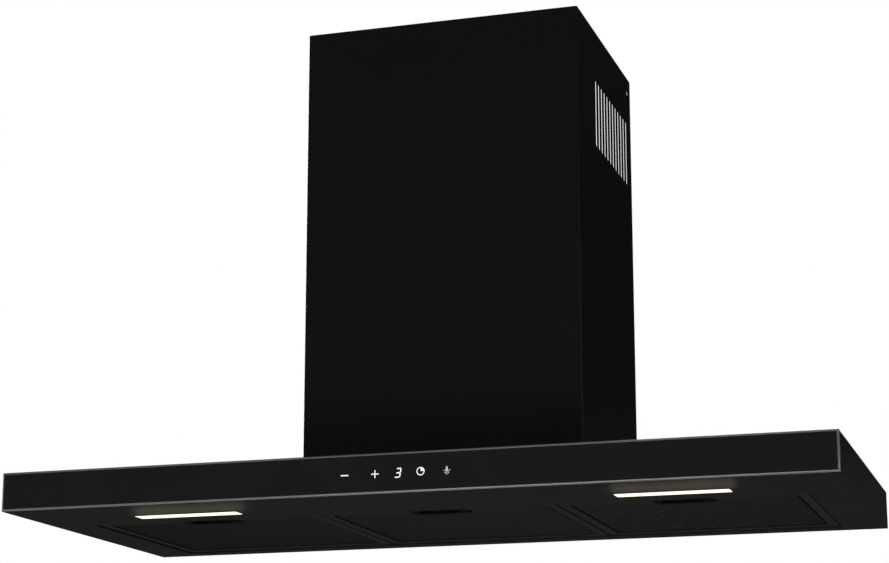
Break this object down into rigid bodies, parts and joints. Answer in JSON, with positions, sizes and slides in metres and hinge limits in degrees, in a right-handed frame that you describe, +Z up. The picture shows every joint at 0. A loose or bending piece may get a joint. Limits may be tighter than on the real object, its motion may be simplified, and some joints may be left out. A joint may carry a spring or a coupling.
{
  "type": "wall chimney range hood",
  "caption": "Wall-mounted T-shaped chimney range hood with a shallow wide canopy, black glass control front, lit bars and drop-down grease filters.",
  "frame": {"origin": "centre of the canopy's lower rear edge, on the wall plane", "axes": "+Z up, +Y into the wall, the front faces -Y, +X to the right as seen from the front"},
  "size_m": [0.898, 0.42, 0.565],
  "materials": {
    "black_painted_steel": "fine matt black powder coat",
    "black_glass": "polished, back-printed black, bevelled edges",
    "foam_tape": "matt",
    "black_plastic": "fine spark-eroded texture",
    "circuit_board": "solder mask",
    "display": "frosted light guide",
    "lamp_diffuser": "opal, lit",
    "zinc_fixings": "bright zinc",
    "galvanised_steel": "galvanised spangle",
    "rubber": "matt",
    "motor_steel": "varnished laminations",
    "bronze": "sintered",
    "white_plastic": "moulded",
    "lead_insulation": "satin sheath",
    "black_aluminium": "black anodised",
    "filter_mesh": "expanded, black anodised",
    "grey_plastic": "moulded"
  },
  "bodies": {
    "root": {"canopy_shell": "black_painted_steel", "underside_panel": "black_painted_steel", "lower_chimney": "black_painted_steel", "glass_front": "black_glass", "glass_tape": "foam_tape", "control_housing": "black_plastic", "outlet_collar": "black_plastic", "scroll_front": "black_plastic", "scroll_rear": "black_plastic", "electronics_box": "black_plastic", "electronics_lid": "black_plastic", "cable_gland": "black_plastic", "lamp_housing_left": "black_plastic", "lamp_housing_right": "black_plastic", "control_board": "circuit_board", "power_board": "circuit_board", "led_boards": "circuit_board", "digit_display": "display", "lamp_diffuser_left": "lamp_diffuser", "lamp_diffuser_right": "lamp_diffuser", "panel_screws": "zinc_fixings", "box_screws": "zinc_fixings", "collar_screws": "zinc_fixings", "blower_box": "galvanised_steel", "wall_hooks": "galvanised_steel", "motor_bracket": "galvanised_steel", "motor_end_caps": "galvanised_steel", "rubber_mounts": "rubber", "motor_stator": "motor_steel", "motor_bearings": "bronze", "run_capacitor": "white_plastic", "terminal_block": "white_plastic", "lamp_harness": "lead_insulation", "control_lead": "lead_insulation", "motor_lead": "lead_insulation"},
    "filter_left": {"filter_frame_left": "black_aluminium", "filter_mesh_left": "filter_mesh", "latch_cup_left": "black_plastic", "latch_spring_left": "zinc_fixings"},
    "latch_left": {"latch_slide_left": "black_plastic"},
    "filter_centre": {"filter_frame_centre": "black_aluminium", "filter_mesh_centre": "filter_mesh", "latch_cup_centre": "black_plastic", "latch_spring_centre": "zinc_fixings"},
    "latch_centre": {"latch_slide_centre": "black_plastic"},
    "filter_right": {"filter_frame_right": "black_aluminium", "filter_mesh_right": "filter_mesh", "latch_cup_right": "black_plastic", "latch_spring_right": "zinc_fixings"},
    "latch_right": {"latch_slide_right": "black_plastic"},
    "rotor": {"impeller": "grey_plastic", "motor_rotor": "motor_steel"},
    "flap_left": {"non_return_flap_left": "grey_plastic"},
    "flap_right": {"non_return_flap_right": "grey_plastic"},
    "chimney_slide": {"upper_chimney": "black_painted_steel", "ceiling_bracket": "galvanised_steel", "bracket_rivets": "zinc_fixings"}
  },
  "joints": [
    {"name": "filter_left_drop", "type": "hinge", "parent": "root", "child": "filter_left", "pos_m": [-0.26667, -0.029, 0.0035], "axis": [1, 0, 0], "range_deg": [0, 70]},
    {"name": "latch_left_pull", "type": "slide", "parent": "filter_left", "child": "latch_left", "axis": [0, 1, 0], "range_m": [0, 0.007], "stiffness_N_per_m": 300, "springref_m": -0.004, "deforming": ["latch_spring_left"]},
    {"name": "filter_centre_drop", "type": "hinge", "parent": "root", "child": "filter_centre", "pos_m": [0, -0.029, 0.0035], "axis": [1, 0, 0], "range_deg": [0, 70]},
    {"name": "latch_centre_pull", "type": "slide", "parent": "filter_centre", "child": "latch_centre", "axis": [0, 1, 0], "range_m": [0, 0.007], "stiffness_N_per_m": 300, "springref_m": -0.004, "deforming": ["latch_spring_centre"]},
    {"name": "filter_right_drop", "type": "hinge", "parent": "root", "child": "filter_right", "pos_m": [0.26667, -0.029, 0.0035], "axis": [1, 0, 0], "range_deg": [0, 70]},
    {"name": "latch_right_pull", "type": "slide", "parent": "filter_right", "child": "latch_right", "axis": [0, 1, 0], "range_m": [0, 0.007], "stiffness_N_per_m": 300, "springref_m": -0.004, "deforming": ["latch_spring_right"]},
    {"name": "impeller_spin", "type": "hinge", "parent": "root", "child": "rotor", "pos_m": [-0.036, -0.135, 0.1539], "axis": [0, 1, 0], "continuous": true},
    {"name": "flap_left_open", "type": "hinge", "parent": "root", "child": "flap_left", "pos_m": [-0.005, -0.135, 0.316], "axis": [0, 1, 0], "range_deg": [0, 80]},
    {"name": "flap_right_open", "type": "hinge", "parent": "root", "child": "flap_right", "pos_m": [0.005, -0.135, 0.316], "axis": [0, -1, 0], "range_deg": [0, 80]},
    {"name": "chimney_raise", "type": "slide", "parent": "root", "child": "chimney_slide", "axis": [0, 0, 1], "range_m": [0, 0.42]}
  ]
}
